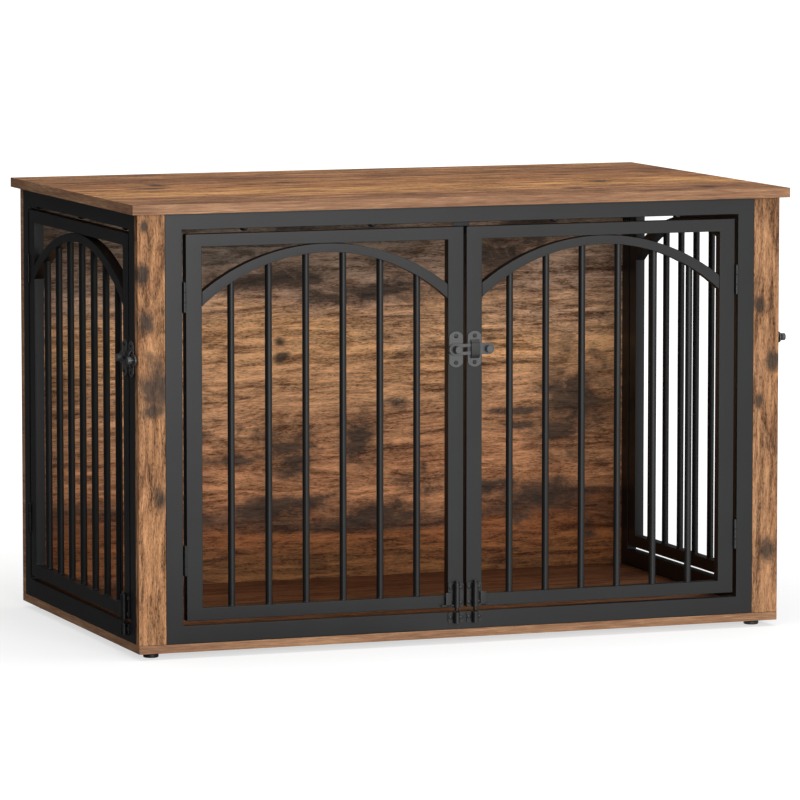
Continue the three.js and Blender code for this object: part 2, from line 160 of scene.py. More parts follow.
# injection-moulded polyethylene: a soft, slightly pebbled black
PEBBLE = 0.6 * MM
polyethylene, tree, place = new_material("moulded_polyethylene")
pebbles = add_node(tree, "ShaderNodeTexNoise", {
    "Vector": place, "Scale": 1 / PEBBLE, "Detail": 2,
})
tone = add_node(tree, "ShaderNodeValToRGB", {"Fac": pebbles},
                stops=[(0.3, "#101010"), (0.7, "#1c1c1c")])
bump = add_node(tree, "ShaderNodeBump", {
    "Height": pebbles, "Distance": 0.05 * MM, "Strength": 0.5,
})
shader = add_node(tree, "ShaderNodeBsdfPrincipled", {
    "Base Color": tone, "Roughness": 0.5, "Normal": bump,
})
add_node(tree, "ShaderNodeOutputMaterial", {"Surface": shader})

GLIDE_RIM = 1.2 * MM
GLIDE_NECK = 0.62  # of the pad's radius
PAD_HEIGHT = 0.62  # of the gap under the base
base_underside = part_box("base_board")[0].z
pad_top = PAD_HEIGHT * base_underside
for corner in ("front_left", "front_right", "back_left", "back_right"):
    low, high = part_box(f"foot_{corner}")
    radius = (high.x - low.x) / 2
    neck = GLIDE_NECK * radius
    glide = turned(
        [
            (0, radius - GLIDE_RIM), (0.3 * GLIDE_RIM, radius - 0.4 * GLIDE_RIM),
            (GLIDE_RIM, radius), (pad_top - GLIDE_RIM, radius),
            (pad_top - 0.3 * GLIDE_RIM, radius - 0.4 * GLIDE_RIM), (pad_top, radius - GLIDE_RIM),
            (pad_top, neck + GLIDE_RIM), (pad_top + GLIDE_RIM, neck), (base_underside, neck),
        ],
        centre=((low.x + high.x) / 2, (low.y + high.y) / 2, 0), sides=48,
    )
    coated(polyethylene, glide)
    finished(glide, f"glide_{corner}", "crate", "foot_plastic", f"foot_{corner}")

# --- Boards ---------------------------------------------------------------------------------
# Particle board under a printed melamine film: a photograph of aged, wire-brushed pine, tan
# and red-brown with grey stains. The narrow sides carry an edge band of plainer print.
ARRIS = 0.5 * MM  # rounding of a board's edges
BROAD = 0.9  # a face that points along the thin axis by more than this is a broad one


def printed_pine(name, plane, bands, stains_and_shade, seed, contrast=1.0, scatter=1.0):
    """Melamine film with an aged pine print, whose grain runs along the first axis of a plane.

    Each band is (place across the grain, hex colour), from low to high, and they blend into
    each other; on the back panel the upper bands are partly painted shade. Each stain is a
    charcoal cloud at (along, across, length, width); on the back panel two of them are partly
    painted shadow under the top. Places are in metres. The seed shifts the noises, and scatter is
    how dark the clouds between the stain clouds are.
    """
    material, tree, place = new_material(name)
    along, across = ("xyz".index(letter) for letter in plane)

    def marks(length, width, detail, roughness, distortion=0.0):
        """A noise of marks about this long along the grain and this wide across it."""
        spot = add_node(tree, "ShaderNodeMapping", {
            "Vector": place, "Location": (seed, 1.7 * seed, 0.6 * seed),
            "Scale": [1 / (length if axis == along else width) for axis in range(3)],
        })
        return add_node(tree, "ShaderNodeTexNoise", {
            "Vector": spot, "Scale": 1, "Detail": detail, "Roughness": roughness,
            "Distortion": distortion,
        })

    drift = marks(420 * MM, 90 * MM, 3, 0.55, 0.5)
    streaks = marks(120 * MM, 11 * MM, 7, 0.68, 0.6)
    fibres = marks(14 * MM, 1.8 * MM, 5, 0.72)
    specks = marks(6 * MM, 1.5 * MM, 3, 0.6)
    ragged = marks(70 * MM, 34 * MM, 8, 0.7, 0.5)

    # the planks' tones, bent by the drift; on the back panel the upper tones are partly painted
    # shade
    low, high = bands[0][0], bands[-1][0]
    bend = 0.36 * (high - low)
    height = add_node(tree, "ShaderNodeSeparateXYZ", {"Vector": place}, output=across)
    bent = add_node(tree, "ShaderNodeMath", {0: drift, 1: bend, 2: height},
                    operation="MULTIPLY_ADD")
    up = add_node(tree, "ShaderNodeMapRange", {
        "Value": bent, "From Min": low + bend / 2, "From Max": high + bend / 2,
    })
    tone = add_node(tree, "ShaderNodeValToRGB", {"Fac": up},
                    stops=[((at - low) / (high - low), colour) for at, colour in bands])

    # streaks and fibres lighten and darken it
    grain = add_node(tree, "ShaderNodeMath", {0: fibres, 1: 0.8, 2: streaks},
                     operation="MULTIPLY_ADD")
    swing = 0.85 * contrast
    shade = add_node(tree, "ShaderNodeMapRange", {
        "Value": grain, "From Min": 0.55, "From Max": 1.25,
        "To Min": 1 - swing, "To Max": 1 + swing,
    })
    tone = add_node(tree, "ShaderNodeVectorMath", {0: tone, "Scale": shade}, operation="SCALE")

    # growth lines: contours of a long, gently knotted height, broken by the streaks
    growth_lines = 15.0
    swell = marks(300 * MM, 60 * MM, 2, 0.4, 0.5)
    contours = add_node(tree, "ShaderNodeMath", {0: swell, 1: growth_lines},
                        operation="MULTIPLY")
    contours = add_node(tree, "ShaderNodeMath", {0: contours}, operation="FRACT")
    line = add_node(tree, "ShaderNodeValToRGB", {"Fac": contours},
                    stops=[(0.0, "#86705f"), (0.30, "#cbb8a8"), (0.65, 1.0), (1.0, "#dccdbf")])
    broken = add_node(tree, "ShaderNodeValToRGB", {"Fac": streaks},
                      stops=[(0.40, 0.75), (0.62, 0.0)])
    colours = {"data_type": "RGBA", "output": 2}  # a mix's colours are its inputs 6 and 7
    tone = add_node(tree, "ShaderNodeMix", {0: broken, 6: tone, 7: line},
                    blend_type="MULTIPLY", **colours)

    # the wire brush leaves short dark dashes
    dashed = add_node(tree, "ShaderNodeMath", {0: streaks, 1: 0.5, 2: specks},
                      operation="MULTIPLY_ADD")
    dash = add_node(tree, "ShaderNodeValToRGB", {"Fac": dashed},
                    stops=[(0.58, "#74604f"), (0.74, 1.0)])
    tone = add_node(tree, "ShaderNodeMix", {0: 0.65 * contrast, 6: tone, 7: dash},
                    blend_type="MULTIPLY", **colours)

    # stain clouds, two of them on the back panel partly painted shadow: the nearest one counts,
    # and the streaks and a coarser noise fray its edge
    nearest = 9.0  # farther than any stain reaches
    for at_along, at_across, length, width in stains_and_shade:
        centre, scale = [0, 0, 0], [0, 0, 0]
        centre[along], scale[along] = -2 * at_along / length, 2 / length
        centre[across], scale[across] = -2 * at_across / width, 2 / width
        offset = add_node(tree, "ShaderNodeMapping", {
            "Vector": place, "Location": centre, "Scale": scale,
        })
        distance = add_node(tree, "ShaderNodeVectorMath", {0: offset}, output="Value",
                            operation="LENGTH")
        nearest = add_node(tree, "ShaderNodeMath", {0: nearest, 1: distance},
                           operation="MINIMUM")
    reach = add_node(tree, "ShaderNodeMath", {0: nearest, 1: -0.8, 2: -1.9},
                     operation="MULTIPLY_ADD")
    for frayed, amount in ((streaks, 2.4), (ragged, 4.0)):
        reach = add_node(tree, "ShaderNodeMath", {0: frayed, 1: amount, 2: reach},
                         operation="MULTIPLY_ADD")
    chosen = add_node(tree, "ShaderNodeValToRGB", {"Fac": reach},
                      stops=[(0.0, 0.0), (0.90, 0.9)])
    loose = add_node(tree, "ShaderNodeMath", {0: drift, 1: 0.5, 2: ragged},
                     operation="MULTIPLY_ADD")
    loose = add_node(tree, "ShaderNodeValToRGB", {"Fac": loose},
                     stops=[(0.82, 0.0), (0.98, 0.8 * scatter)])
    cover = add_node(tree, "ShaderNodeMath", {0: chosen, 1: loose}, operation="MAXIMUM")
    # the charcoal of the stain clouds, which on the back panel also paints shadow under the top
    char_and_shade = add_node(tree, "ShaderNodeValToRGB", {"Fac": grain},
                    stops=[(0.65, "#1c1815"), (1.10, "#40352d")])
    tone = add_node(tree, "ShaderNodeMix", {0: cover, 6: tone, 7: char_and_shade}, **colours)

    # the film is satin, and embossed a little along the fibres
    bump = add_node(tree, "ShaderNodeBump", {
        "Height": dashed, "Distance": 0.10 * MM, "Strength": 0.3,
    })
    shader = add_node(tree, "ShaderNodeBsdfPrincipled", {
        "Base Color": tone, "Roughness": 0.55, "Specular IOR Level": 0.15, "Normal": bump,
    })
    add_node(tree, "ShaderNodeOutputMaterial", {"Surface": shader})
    return material


def board(node, thin_axis, face_print, edge_print, slot="rustic_board"):
    """A board with eased arrises, printed on its broad faces and banded on its narrow ones."""
    low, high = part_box(node)
    bpy.ops.mesh.primitive_cube_add(size=1, location=(low + high) / 2, scale=high - low)
    piece = bpy.context.object
    bpy.ops.object.transform_apply()
    bpy.ops.object.mode_set(mode="EDIT")
    bpy.ops.mesh.select_all(action="SELECT")
    bpy.ops.mesh.bevel(offset=ARRIS, segments=2, affect="EDGES")
    bpy.ops.object.mode_set(mode="OBJECT")
    coated(face_print, piece)
    coated(edge_print, piece)
    for face in piece.data.polygons:
        face.material_index = 0 if abs(face.normal[thin_axis]) > BROAD else 1
    finished(piece, f"{node}_banded", "crate", slot, node)


# melamine edge band: a straight, pinkish oak print along the edge
edge_band, tree, place = new_material("printed_edge_band")
fine = add_node(tree, "ShaderNodeMapping", {
    "Vector": place, "Scale": (1 / (36 * MM), 1 / (36 * MM), 1 / (1.6 * MM)),
})
broad = add_node(tree, "ShaderNodeMapping", {
    "Vector": place, "Scale": (1 / (180 * MM), 1 / (180 * MM), 1 / (14 * MM)),
})
grain = add_node(tree, "ShaderNodeTexNoise", {
    "Vector": fine, "Scale": 1, "Detail": 5, "Roughness": 0.7, "Distortion": 0.5,
})
drift = add_node(tree, "ShaderNodeTexNoise", {"Vector": broad, "Scale": 1, "Detail": 2})
both = add_node(tree, "ShaderNodeMath", {0: drift, 1: 0.5, 2: grain}, operation="MULTIPLY_ADD")
tone = add_node(
    tree, "ShaderNodeValToRGB", {"Fac": both},
    stops=[(0.50, "#62442f"), (0.68, "#876147"), (0.82, "#9b7354"), (1.0, "#bd9372")],
)
bump = add_node(tree, "ShaderNodeBump", {"Height": grain, "Distance": 0.08 * MM, "Strength": 0.4})
shader = add_node(tree, "ShaderNodeBsdfPrincipled", {
    "Base Color": tone, "Roughness": 0.55, "Specular IOR Level": 0.2, "Normal": bump,
})
add_node(tree, "ShaderNodeOutputMaterial", {"Surface": shader})

floor_print = printed_pine(
    "printed_pine_floor", "xy",
    [(-0.287, "#8a5d3f"), (0.0, "#936545"), (0.287, "#7c5238")], [], 31.0,
)
board("base_board", 2, floor_print, edge_band, slot="board_edge")

# The back's bands are lightest at mid height and darker towards the bottom. Towards the top they
# turn greyer and darker, partly print and partly painted shade under the top board, and the two
# long smoky clouds at 0.455 and 0.48 m up are partly print and partly painted shadow of the top.
back_print_and_shade = printed_pine(
    "printed_pine_back", "xz",
    [
        (0.02, "#7d532f"), (0.08, "#9d6138"), (0.12, "#694935"), (0.16, "#c5895f"),
        # from 0.47 m up the bands turn greyer and darker: partly print, partly painted shade
        # under the top
        (0.30, "#ce9a70"), (0.38, "#e4ae7b"), (0.47, "#cfa88b"), (0.56, "#948373"),
        (0.629, "#8a7d6f"),
    ],
    [
        (-0.074, 0.217, 0.070, 0.060), (-0.160, 0.209, 0.110, 0.020),
        (0.038, 0.229, 0.050, 0.070), (0.146, 0.189, 0.016, 0.020),
        (-0.100, 0.131, 0.190, 0.032), (0.060, 0.117, 0.170, 0.032),
        (0.394, 0.277, 0.095, 0.120), (0.372, 0.232, 0.070, 0.050),
        (0.330, 0.128, 0.120, 0.044), (0.250, 0.152, 0.080, 0.020),
        (0.270, 0.500, 0.070, 0.070), (0.330, 0.545, 0.110, 0.040),
        (0.418, 0.081, 0.020, 0.026), (-0.086, 0.385, 0.015, 0.010),
        (-0.084, 0.361, 0.018, 0.012), (0.102, 0.285, 0.036, 0.016),
        # these two long smoky clouds are partly print and partly painted shadow under the top
        (-0.110, 0.480, 0.200, 0.030), (0.060, 0.455, 0.180, 0.026),
        (0.290, 0.266, 0.090, 0.012), (0.300, 0.244, 0.070, 0.010),
    ],
    0.0, contrast=1.1,
)
board("back_panel", 1, back_print_and_shade, edge_band)

post_prints = {
    "left": printed_pine(
        "printed_pine_post_left", "zx", [(-0.489, "#ab7c56"), (-0.449, "#a87b54")],
        [
            (0.611, -0.480, 0.014, 0.010), (0.545, -0.482, 0.026, 0.016),
            (0.477, -0.480, 0.030, 0.016), (0.387, -0.474, 0.052, 0.036),
            (0.353, -0.470, 0.016, 0.024), (0.229, -0.456, 0.026, 0.018),
        ],
        52.0, contrast=1.25, scatter=0.5,
    ),
    "right": printed_pine(
        "printed_pine_post_right", "zx", [(0.449, "#a47a58"), (0.489, "#a17652")],
        [
            (0.473, 0.459, 0.022, 0.012), (0.389, 0.482, 0.026, 0.016),
            (0.333, 0.459, 0.020, 0.012), (0.113, 0.474, 0.024, 0.026),
        ],
        79.0, contrast=1.25, scatter=0.5,
    ),
}
for side, face_print in post_prints.items():
    board(f"front_post_{side}", 1, face_print, face_print)

# --- Steel frames ---------------------------------------------------------------------------
# Rectangular tube, mitred, welded and ground flush, then powder-coated matt black. One frame
# fills the front between the posts, and one each side, held up under the top by screws.
FRAME_TUBE = 25 * MM
FRAME_TOP_RAIL = 23 * MM
TUBE_DEPTH = 15 * MM
TUBE_EDGE = 0.7 * MM  # outer corner radius of the tube

# matt black powder coat: near black, with the fine orange peel that baking leaves
ORANGE_PEEL = 1.6 * MM
powder_coat, tree, place = new_material("powder_coat_black")
peel = add_node(tree, "ShaderNodeTexNoise", {
    "Vector": place, "Scale": 1 / ORANGE_PEEL, "Detail": 3, "Roughness": 0.6,
})
cloud = add_node(tree, "ShaderNodeTexNoise", {
    "Vector": place, "Scale": 1 / (90 * MM), "Detail": 2,
})
tone = add_node(tree, "ShaderNodeValToRGB", {"Fac": cloud},
                stops=[(0.35, "#111111"), (0.65, "#151616")])
bump = add_node(tree, "ShaderNodeBump", {"Height": peel, "Distance": 0.03 * MM, "Strength": 0.5})
shader = add_node(tree, "ShaderNodeBsdfPrincipled", {
    "Base Color": tone, "Roughness": 0.42, "Specular IOR Level": 0.3, "Normal": bump,
})
add_node(tree, "ShaderNodeOutputMaterial", {"Surface": shader})

# each wall's outer face: a point on it, and its turn from the front
WALLS = {
    "front": ((0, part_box("front_frame")[0].y), 0),
    "left_side": ((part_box("left_side_frame")[0].x, 0), -math.pi / 2),
    "right_side": ((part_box("right_side_frame")[1].x, 0), math.pi / 2),
}


def wall_span(node, wall):
    """A node's left and right ends along its wall, seen from outside, and its heights."""
    low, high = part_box(node)
    ends = {"front": (low.x, high.x), "left_side": (-high.y, -low.y),
            "right_side": (low.y, high.y)}
    return (*ends[wall], low.z, high.z)


def own_copy(master):
    """A copy of a piece with a mesh of its own."""
    piece = master.copy()
    piece.data = master.data.copy()
    bpy.context.collection.objects.link(piece)
    return piece


def on_wall(master, wall, x=0.0, z=0.0, hand=1):
    """A copy, with its own mesh, of a piece drawn in a wall's own right and inward axes.

    With a hand of -1 it is mirrored, left to right.
    """
    piece = own_copy(master)
    (wall_x, wall_y), turn = WALLS[wall]
    along_wall = Matrix.Rotation(turn, 3, "Z") @ Vector((x, 0, 0))
    piece.location = Vector((wall_x, wall_y, z)) + along_wall
    piece.rotation_euler = (0, 0, turn)
    piece.scale = (hand, 1, 1)
    select_only(piece)
    bpy.ops.object.transform_apply()
    bpy.ops.object.mode_set(mode="EDIT")
    bpy.ops.mesh.select_all(action="SELECT")
    bpy.ops.mesh.normals_make_consistent(inside=False)
    bpy.ops.object.mode_set(mode="OBJECT")
    return piece


def select_where(piece, kind, wanted):
    """In edit mode, selects the faces or vertices whose middle or place passes a test."""
    bpy.context.view_layer.objects.active = piece
    bpy.ops.object.mode_set(mode="EDIT")
    bpy.ops.mesh.select_mode(type=kind)
    bpy.ops.mesh.select_all(action="DESELECT")
    bpy.ops.object.mode_set(mode="OBJECT")
    if kind == "FACE":
        for face in piece.data.polygons:
            face.select = wanted(face.center)
    else:
        for vertex in piece.data.vertices:
            vertex.select = wanted(vertex.co)
    bpy.ops.object.mode_set(mode="EDIT")


def eased(piece, width, segments=2):
    """Rounds the sharp edges of a piece."""
    bevel = piece.modifiers.new("ease", "BEVEL")
    bevel.width = width
    bevel.segments = segments
    bevel.limit_method = "ANGLE"
    bpy.context.view_layer.objects.active = piece
    bpy.ops.object.modifier_apply(modifier=bevel.name)
    return piece


def upright_sheet(x0, x1, z0, z1, y=0.0):
    """A flat rectangle that faces out of the wall, left in edit mode."""
    bpy.ops.mesh.primitive_plane_add(size=1, location=((x0 + x1) / 2, y, (z0 + z1) / 2),
                                     rotation=(math.pi / 2, 0, 0))
    sheet = bpy.context.object
    sheet.scale = (x1 - x0, z1 - z0, 1)
    bpy.ops.object.transform_apply()
    bpy.ops.object.mode_set(mode="EDIT")
    return sheet


def thickened(sheet, depth):
    """A flat sheet in edit mode drawn out across the wall, and back in object mode."""
    bpy.ops.mesh.select_mode(type="FACE")
    bpy.ops.mesh.select_all(action="SELECT")
    bpy.ops.mesh.extrude_region_move(TRANSFORM_OT_translate={"value": (0, depth, 0)})
    bpy.ops.mesh.select_all(action="SELECT")
    bpy.ops.mesh.normals_make_consistent(inside=False)
    bpy.ops.object.mode_set(mode="OBJECT")
    return sheet


def tube_ring(x0, x1, z0, z1, stile, lower_rail, upper_rail):
    """A welded ring of rectangular tube: a sheet cut out in the middle, then drawn out."""
    ring = upright_sheet(x0, x1, z0, z1)
    left, right, bottom, top = x0 + stile, x1 - stile, z0 + lower_rail, z1 - upper_rail
    for cut, normal in (
        ((left, 0, 0), (1, 0, 0)), ((right, 0, 0), (1, 0, 0)),
        ((0, 0, bottom), (0, 0, 1)), ((0, 0, top), (0, 0, 1)),
    ):
        bpy.ops.mesh.select_all(action="SELECT")
        bpy.ops.mesh.bisect(plane_co=cut, plane_no=normal)
    select_where(ring, "FACE", lambda at: left < at.x < right and bottom < at.z < top)
    bpy.ops.mesh.delete(type="FACE")
    return eased(thickened(ring, TUBE_DEPTH), TUBE_EDGE)


for wall in WALLS:
    ring = tube_ring(*wall_span(f"{wall}_frame", wall), FRAME_TUBE, FRAME_TUBE, FRAME_TOP_RAIL)
    coated(powder_coat, ring)
    finished(on_wall(ring, wall), f"{wall}_tube_frame", "crate", "frame_steel", f"{wall}_frame")
    bpy.data.objects.remove(ring)

# --- Door rings -----------------------------------------------------------------------------
# Each of the four doors is a lighter ring of the same tube, coated like the frames. A door
# has its hinges on its left, and one with a hand of -1 on its right.
DOOR_STILE = 23.5 * MM
DOOR_RAIL = 18 * MM
DOORS = {"front_left": ("front", 1), "front_right": ("front", -1),
         "left_side": ("left_side", 1), "right_side": ("right_side", -1)}
for door, (wall, hand) in DOORS.items():
    ring = tube_ring(*wall_span(f"{door}_door_frame", wall), DOOR_STILE, DOOR_RAIL, DOOR_RAIL)
    coated(powder_coat, ring)
    finished(on_wall(ring, wall), f"{door}_door_ring", f"{door}_door", "frame_steel",
             f"{door}_door_frame")
    bpy.data.objects.remove(ring)

# --- Grilles --------------------------------------------------------------------------------
# An arch of flat bar with round bars butt-welded under it, all welded into the door's ring.
# The arch is slimmer at its crown than at its feet.
BAR_RADIUS = 5 * MM
BAR_END_GAP = 45 * MM  # from the stile to the middle of the first bar
ARCH_RISE = 63 * MM
ARCH_CROWN_WIDTH = 12.5 * MM
ARCH_FOOT_WIDTH = 20.5 * MM
FIT = 0.3 * MM  # left between pieces that touch
WELD = 1.5 * MM  # height of the fillet at a bar's foot
ARCH_EDGE = 0.5 * MM
ARC_SIDES = 240  # of the whole circle
BARS = {"front": 6, "left_side": 7, "right_side": 7}


def arc(reach, rise, crown):
    """A chain of edges along the arc that rises by `rise` over twice `reach`, and its radius."""
    radius = (reach**2 + rise**2) / (2 * rise)
    middle = crown - radius
    bpy.ops.mesh.primitive_circle_add(
        vertices=ARC_SIDES, radius=radius, fill_type="NOTHING",
        location=(0, 0, middle), rotation=(math.pi / 2, 0, 0),
    )
    chain = bpy.context.object
    bpy.ops.object.transform_apply()
    bpy.ops.object.mode_set(mode="EDIT")
    for cut, normal in (
        ((0, 0, middle), (0, 0, -1)), ((reach, 0, 0), (1, 0, 0)), ((-reach, 0, 0), (-1, 0, 0)),
    ):
        bpy.ops.mesh.select_all(action="SELECT")
        bpy.ops.mesh.bisect(plane_co=cut, plane_no=normal, clear_outer=True)
    bpy.ops.object.mode_set(mode="OBJECT")
    return chain, radius


def joined(pieces):
    """Several meshes as one."""
    select_only(pieces[0])
    for piece in pieces:
        piece.select_set(True)
    bpy.ops.object.join()
    return pieces[0]


def combined(piece, other, operation):
    """A piece joined to another or cut by it. The other is used up."""
    boolean = piece.modifiers.new("combine", "BOOLEAN")
    boolean.object = other
    boolean.operation = operation
    boolean.solver = "EXACT"
    bpy.context.view_layer.objects.active = piece
    bpy.ops.object.modifier_apply(modifier=boolean.name)
    bpy.data.objects.remove(other)
    return piece


def grille(half_opening, foot, crown, bars):
    """The arch and its bars, centred on x = 0, from the lower rail up to the upper one."""
    reach = half_opening - FIT
    inner_crown = crown - ARCH_CROWN_WIDTH
    inner_rise = ARCH_RISE + ARCH_FOOT_WIDTH - ARCH_CROWN_WIDTH
    outer, _ = arc(reach, ARCH_RISE, crown)
    inner, inner_radius = arc(reach, inner_rise, inner_crown)
    band = joined([outer, inner])
    bpy.ops.object.mode_set(mode="EDIT")
    bpy.ops.mesh.select_all(action="SELECT")
    bpy.ops.mesh.bridge_edge_loops()
    band = eased(thickened(band, TUBE_DEPTH), ARCH_EDGE)
    spacing = 2 * (half_opening - BAR_END_GAP) / (bars - 1)
    uprights = []
    for number in range(bars):
        x = -half_opening + BAR_END_GAP + number * spacing
        under_arch = inner_crown - inner_radius + math.sqrt(inner_radius**2 - x**2)
        height = under_arch + ARCH_CROWN_WIDTH / 2 - foot
        uprights.append(turned(
            [
                (0, BAR_RADIUS + 0.6 * WELD), (0.4 * WELD, BAR_RADIUS + 0.25 * WELD),
                (WELD, BAR_RADIUS), (height, BAR_RADIUS),
            ],
            centre=(x, TUBE_DEPTH / 2, foot),
        ))
    return combined(band, joined(uprights), "UNION")


masters = {}
for door, (wall, hand) in DOORS.items():
    x0, x1, z0, z1 = wall_span(f"{door}_door_frame", wall)
    if wall not in masters:
        masters[wall] = grille((x1 - x0) / 2 - DOOR_STILE, z0 + DOOR_RAIL + FIT,
                               z1 - DOOR_RAIL - FIT, BARS[wall])
        coated(powder_coat, masters[wall])
    finished(on_wall(masters[wall], wall, x=(x0 + x1) / 2), f"{door}_arched_grille",
             f"{door}_door", "frame_steel", f"{door}_door_grille")
for master in masters.values():
    bpy.data.objects.remove(master)

# --- Hinges ---------------------------------------------------------------------------------
# Two steel butt hinges to a door, leaves in the gap and knuckles just proud of the faces.
# The frame's leaf has the outer knuckles and the pin, the door's leaf the middle one.
HINGE_GAP = 5.5 * MM
HINGE_LENGTH = 42.5 * MM
KNUCKLE_RADIUS = 2.7 * MM
KNUCKLE_GAP = 0.4 * MM
KNUCKLE_EDGE = 0.3 * MM
PIN_RADIUS = 1.2 * MM
PIN_HEAD = 0.7 * MM
PIN_BORE = 1.5 * MM
LEAF_THICKNESS = 1 * MM
LEAF_DEPTH = 12 * MM

# black zinc-plated steel: near black and satin, with the cloudiness of the bath
black_zinc, tree, place = new_material("black_zinc_plate")
cloud = add_node(tree, "ShaderNodeTexNoise", {
    "Vector": place, "Scale": 1 / (6 * MM), "Detail": 4, "Roughness": 0.6,
})
tone = add_node(tree, "ShaderNodeValToRGB", {"Fac": cloud},
                stops=[(0.3, "#0b0c0c"), (0.7, "#131414")])
sheen = add_node(tree, "ShaderNodeValToRGB", {"Fac": cloud}, stops=[(0.3, 0.30), (0.7, 0.42)])
shader = add_node(tree, "ShaderNodeBsdfPrincipled", {
    "Base Color": tone, "Roughness": sheen, "Specular IOR Level": 0.4,
})
add_node(tree, "ShaderNodeOutputMaterial", {"Surface": shader})


def block(x0, x1, y0, y1, z0, z1, ease=0.2 * MM):
    """A block between two corners with its edges eased."""
    bpy.ops.mesh.primitive_cube_add(
        size=1, location=((x0 + x1) / 2, (y0 + y1) / 2, (z0 + z1) / 2),
    )
    piece = bpy.context.object
    piece.scale = (abs(x1 - x0), abs(y1 - y0), abs(z1 - z0))
    bpy.ops.object.transform_apply()
    return eased(piece, ease) if ease else piece


def barrel(y, z0, z1, bore, radius, edge, sides=32):
    """An upright tube with broken edges, round a bore, y inward from the wall's face."""
    return turned(
        [
            (z0, bore), (z0, radius - edge), (z0 + edge, radius),
            (z1 - edge, radius), (z1, radius - edge), (z1, bore),
        ],
        centre=(0, y, 0), sides=sides, hollow=True,
    )


def swing_of(door):
    """The place of a door's hinge axis."""
    return next(joint["pos_m"] for joint in frame["joints"]
                if joint["name"] == f"{door}_door_swing")


half, third = HINGE_LENGTH / 2, HINGE_LENGTH / 3
pivot_y = swing_of("front_left")[1] - WALLS["front"][0][1]


def hinge_leaf(side, spans):
    """A leaf of the hinge with its knuckles at these spans, for one side of the gap."""
    outer = side * (HINGE_GAP / 2 - FIT)
    inner = outer - side * LEAF_THICKNESS
    clear = pivot_y + KNUCKLE_RADIUS + KNUCKLE_GAP
    parts = [block(inner, outer, clear, LEAF_DEPTH, -half, half)]
    for z0, z1 in spans:
        parts.append(barrel(pivot_y, z0, z1, PIN_BORE, KNUCKLE_RADIUS, KNUCKLE_EDGE))
        parts.append(block(inner, outer, pivot_y, clear + FIT, z0, z1))
    return parts


head_start = half + PIN_HEAD - 0.3 * MM
pin = turned(
    [
        (-half - PIN_HEAD, 0.7 * PIN_RADIUS), (-head_start, 1.5 * PIN_RADIUS),
        (-half, 1.6 * PIN_RADIUS), (-half, PIN_RADIUS), (half, PIN_RADIUS),
        (half, 1.6 * PIN_RADIUS), (head_start, 1.5 * PIN_RADIUS),
        (half + PIN_HEAD, 0.7 * PIN_RADIUS),
    ],
    centre=(0, pivot_y, 0), sides=20,
)
outer_spans = [(-half, -half + third - KNUCKLE_GAP), (half - third + KNUCKLE_GAP, half)]
frame_leaf = joined(hinge_leaf(-1, outer_spans) + [pin])
door_leaf = joined(hinge_leaf(1, [(-half + third, half - third)]))
coated(black_zinc, frame_leaf, door_leaf)
for door, (wall, hand) in DOORS.items():
    x, y, _ = swing_of(door)
    pivot = {"front": x, "left_side": -y, "right_side": y}[wall]
    for level in ("upper", "lower"):
        node = f"{door}_{level}_hinge"
        z0, z1 = wall_span(f"{node}_frame_leaf", wall)[2:]
        for leaf, part, body in (
            (frame_leaf, "frame_leaf", "crate"), (door_leaf, "door_leaf", f"{door}_door"),
        ):
            piece = on_wall(leaf, wall, pivot, (z0 + z1) / 2, hand)
            finished(piece, f"{node}_{part}_curled", body, "hardware_steel", f"{node}_{part}")
bpy.data.objects.remove(frame_leaf)
bpy.data.objects.remove(door_leaf)

# --- Bolts ----------------------------------------------------------------------------------
# A drop bolt at the foot of each door: a barrel pressed out of a screwed plate, a rod with a
# handle that comes out of the barrel's slot, and a keeper screwed to the frame's lower rail.
PLATE_BACK = 0.3 * MM
PLATE_FACE = 1.8 * MM
SCREW_RADIUS = 3 * MM
SCREW_HEIGHT = 1.3 * MM
SCREW_RECESS = 0.6 * MM
BARREL_RADIUS = 4.65 * MM
ROD_RADIUS = 2.75 * MM
BORE_RADIUS = 3.15 * MM
AXIS_OUT = PLATE_BACK + BARREL_RADIUS
BARREL_EDGE = 0.4 * MM
BOLT_PLATE_WIDTH = 23.5 * MM
BOLT_PLATE_HEIGHT = 35.5 * MM
BOLT_PLATE_CORNER = 3 * MM
KEEPER_HEIGHT = 16 * MM
BOLT_SCREWS = (16 * MM, 22 * MM)  # spacing across and up
ROD_END = 3 * MM  # above the plate
ROD_TIP = -5 * MM  # below the door
ROD_CHAMFER = 0.8 * MM
ARM_REACH = 23 * MM
ARM_HALF = 1.2 * MM  # half its thickness
ARM_CLEARANCE = 0.4 * MM  # round the arm, in the barrel's slot
ARM_LOW, ARM_HIGH = 2.1 * MM, 4.5 * MM
TAB_NEAR, TAB_FAR, TAB_HIGH = 7.85 * MM, 16.85 * MM, 22.1 * MM


def screwed_plate(width, height, corner):
    """A sheet plate with round corners, centred on the origin, just off the wall's face."""
    plate = upright_sheet(-width / 2, width / 2, -height / 2, height / 2, y=-PLATE_FACE)
    bpy.ops.mesh.select_all(action="SELECT")
    bpy.ops.mesh.bevel(offset=corner, segments=6, affect="VERTICES")
    return eased(thickened(plate, PLATE_FACE - PLATE_BACK), 0.25 * MM)


def domed_screw(radius, height, recess):
    """A pan-head screw at the origin with its head towards -Y and a cross recess in it."""
    rounds = [math.radians(angle) for angle in (0, 25, 50, 72)]
    head = turned(
        [(-0.2 * MM, radius)] + [
            (0.25 * height + 0.75 * height * math.sin(a), radius * (0.35 + 0.65 * math.cos(a)))
            for a in rounds
        ],
        axis="-Y", sides=28,
    )
    for turn in (math.pi / 4, -math.pi / 4):
        bpy.ops.mesh.primitive_cube_add(
            size=1, location=(0, -height, 0), rotation=(0, turn, 0),
        )
        slot = bpy.context.object
        slot.scale = (1.1 * radius, 2 * recess, 0.24 * radius)
        head = combined(head, slot, "DIFFERENCE")
    return head


